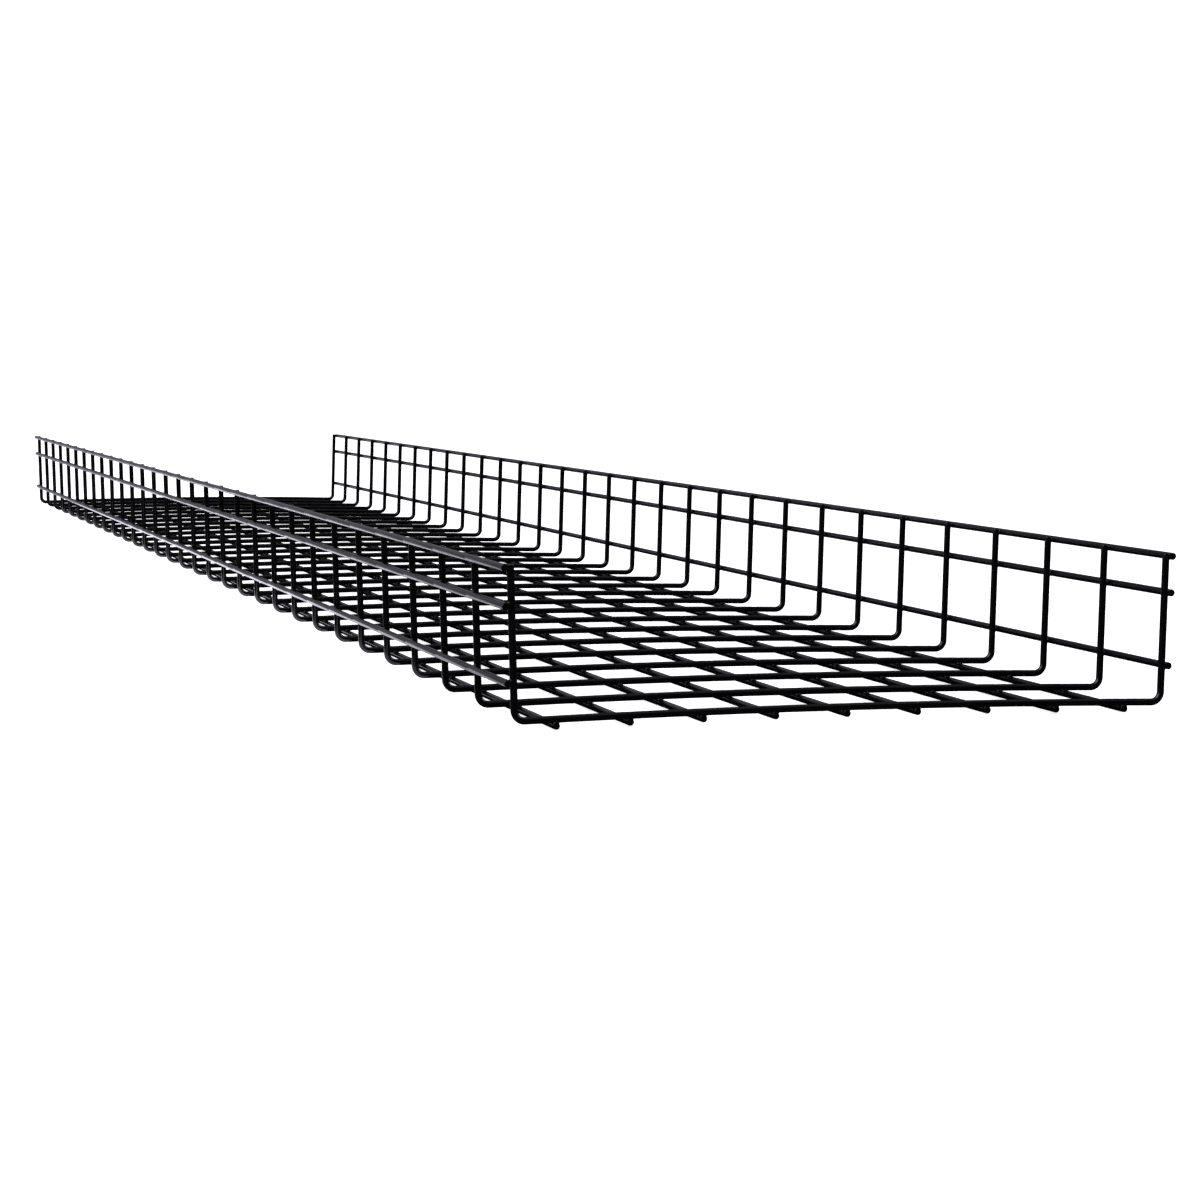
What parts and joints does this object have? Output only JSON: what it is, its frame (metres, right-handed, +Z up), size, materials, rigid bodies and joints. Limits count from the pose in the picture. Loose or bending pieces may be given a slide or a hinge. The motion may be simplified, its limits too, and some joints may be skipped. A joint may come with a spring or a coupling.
{
  "type": "wire mesh cable tray",
  "caption": "Straight welded wire mesh cable tray, a U-shaped basket with a slightly arched floor, two low walls, and open top and ends, that carries cables.",
  "frame": {"origin": "centre of the tray's length and width, at the underside of the two outer floor wires that it rests on", "axes": "+X along the tray, +Y across it towards the right wall as seen from the +X end, +Z up out of the open top"},
  "size_m": [3.005, 0.474, 0.1084],
  "materials": {
    "powder_coated_wire": "satin black powder coat over welded steel wire"
  },
  "bodies": {
    "root": {"cross_wire_01": "powder_coated_wire", "cross_wire_02": "powder_coated_wire", "cross_wire_03": "powder_coated_wire", "cross_wire_04": "powder_coated_wire", "cross_wire_05": "powder_coated_wire", "cross_wire_06": "powder_coated_wire", "cross_wire_07": "powder_coated_wire", "cross_wire_08": "powder_coated_wire", "cross_wire_09": "powder_coated_wire", "cross_wire_10": "powder_coated_wire", "cross_wire_11": "powder_coated_wire", "cross_wire_12": "powder_coated_wire", "cross_wire_13": "powder_coated_wire", "cross_wire_14": "powder_coated_wire", "cross_wire_15": "powder_coated_wire", "cross_wire_16": "powder_coated_wire", "cross_wire_17": "powder_coated_wire", "cross_wire_18": "powder_coated_wire", "cross_wire_19": "powder_coated_wire", "cross_wire_20": "powder_coated_wire", "cross_wire_21": "powder_coated_wire", "cross_wire_22": "powder_coated_wire", "cross_wire_23": "powder_coated_wire", "cross_wire_24": "powder_coated_wire", "cross_wire_25": "powder_coated_wire", "cross_wire_26": "powder_coated_wire", "cross_wire_27": "powder_coated_wire", "cross_wire_28": "powder_coated_wire", "cross_wire_29": "powder_coated_wire", "cross_wire_30": "powder_coated_wire", "cross_wire_31": "powder_coated_wire", "floor_wire_1": "powder_coated_wire", "floor_wire_2": "powder_coated_wire", "floor_wire_3": "powder_coated_wire", "floor_wire_4": "powder_coated_wire", "floor_wire_5": "powder_coated_wire", "floor_wire_6": "powder_coated_wire", "floor_wire_7": "powder_coated_wire", "floor_wire_8": "powder_coated_wire", "floor_wire_9": "powder_coated_wire", "left_wall_wire_lower": "powder_coated_wire", "left_wall_wire_middle": "powder_coated_wire", "left_wall_wire_upper": "powder_coated_wire", "right_wall_wire_lower": "powder_coated_wire", "right_wall_wire_middle": "powder_coated_wire", "right_wall_wire_upper": "powder_coated_wire"}
  },
  "joints": []
}
